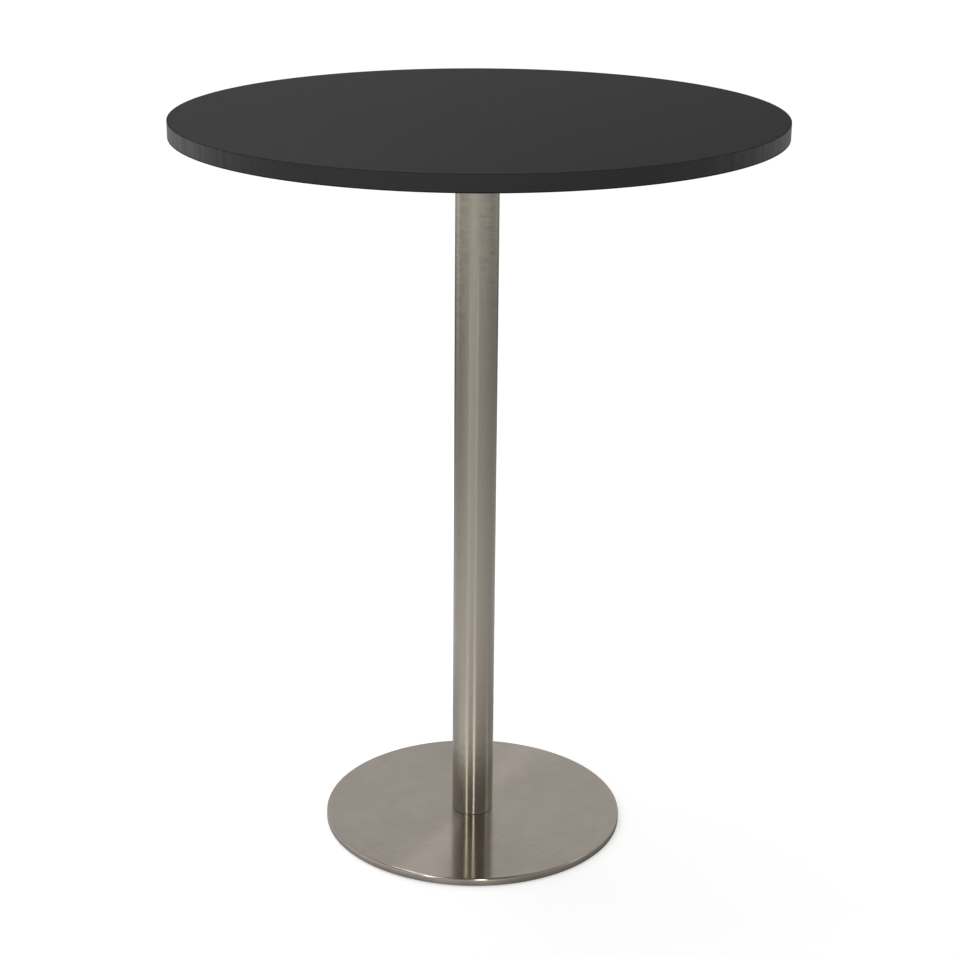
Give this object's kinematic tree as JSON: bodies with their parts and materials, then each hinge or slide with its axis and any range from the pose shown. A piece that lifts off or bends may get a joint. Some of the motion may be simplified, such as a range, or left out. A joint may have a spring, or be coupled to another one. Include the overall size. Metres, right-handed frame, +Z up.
{
  "type": "pub table",
  "caption": "Tall round pub table: charcoal laminated top on a round satin stainless column and a flat brushed disc base with screw-in levelling glides.",
  "frame": {"origin": "on the floor at the middle of the base", "axes": "+Z up along the column; +X and +Y along the sides of the square mounting plate"},
  "size_m": [0.8499, 0.85, 1.08],
  "materials": {
    "charcoal_laminate": "matt charcoal high-pressure laminate with a fine even texture",
    "charcoal_band": "matt charcoal plastic edge band",
    "backing_sheet": "dull dark balancing laminate",
    "particle_board": "raw particle board",
    "black_powder_coat": "fine textured black powder coat on steel",
    "zinc_steel": "bright zinc plate",
    "satin_stainless": "satin stainless steel, polished round the tube",
    "brushed_stainless": "stainless steel brushed in rings",
    "plain_steel": "turned steel, lightly oiled",
    "painted_ballast": "thin black primer on a thick steel disc",
    "black_plastic": "moulded black plastic"
  },
  "bodies": {
    "table": {"top_laminate": "charcoal_laminate", "edge_band": "charcoal_band", "top_core": "particle_board", "backing_laminate": "backing_sheet", "mounting_plate": "black_powder_coat", "plate_screws": "zinc_steel", "plate_hub": "black_powder_coat", "hub_washer": "zinc_steel", "hub_spring_washer": "zinc_steel", "hub_nut": "zinc_steel", "tie_rod": "zinc_steel", "column_tube": "satin_stainless", "foot_gasket": "black_plastic", "foot_spigot": "plain_steel", "spigot_screws": "zinc_steel", "base_cover": "brushed_stainless", "ballast_plate": "painted_ballast"},
    "glide_1": {"glide_pad_1": "black_plastic"},
    "glide_screw_1": {"glide_stud_1": "zinc_steel"},
    "glide_2": {"glide_pad_2": "black_plastic"},
    "glide_screw_2": {"glide_stud_2": "zinc_steel"},
    "glide_3": {"glide_pad_3": "black_plastic"},
    "glide_screw_3": {"glide_stud_3": "zinc_steel"},
    "glide_4": {"glide_pad_4": "black_plastic"},
    "glide_screw_4": {"glide_stud_4": "zinc_steel"}
  },
  "joints": [
    {"name": "glide_1_travel", "type": "slide", "parent": "table", "child": "glide_1", "axis": [0, 0, -1], "range_m": [0, 0.004]},
    {"name": "glide_1_turn", "type": "hinge", "parent": "glide_1", "child": "glide_screw_1", "pos_m": [0.12728, 0.12728, 0.005], "axis": [0, 0, -1], "range_deg": [0, 1152]},
    {"name": "glide_2_travel", "type": "slide", "parent": "table", "child": "glide_2", "axis": [0, 0, -1], "range_m": [0, 0.004]},
    {"name": "glide_2_turn", "type": "hinge", "parent": "glide_2", "child": "glide_screw_2", "pos_m": [-0.12728, 0.12728, 0.005], "axis": [0, 0, -1], "range_deg": [0, 1152]},
    {"name": "glide_3_travel", "type": "slide", "parent": "table", "child": "glide_3", "axis": [0, 0, -1], "range_m": [0, 0.004]},
    {"name": "glide_3_turn", "type": "hinge", "parent": "glide_3", "child": "glide_screw_3", "pos_m": [-0.12728, -0.12728, 0.005], "axis": [0, 0, -1], "range_deg": [0, 1152]},
    {"name": "glide_4_travel", "type": "slide", "parent": "table", "child": "glide_4", "axis": [0, 0, -1], "range_m": [0, 0.004]},
    {"name": "glide_4_turn", "type": "hinge", "parent": "glide_4", "child": "glide_screw_4", "pos_m": [0.12728, -0.12728, 0.005], "axis": [0, 0, -1], "range_deg": [0, 1152]}
  ],
  "couplings": [
    {"joint": "glide_1_turn", "follows": "glide_1_travel", "rad_per_m": 5026.5},
    {"joint": "glide_2_turn", "follows": "glide_2_travel", "rad_per_m": 5026.5},
    {"joint": "glide_3_turn", "follows": "glide_3_travel", "rad_per_m": 5026.5},
    {"joint": "glide_4_turn", "follows": "glide_4_travel", "rad_per_m": 5026.5}
  ]
}
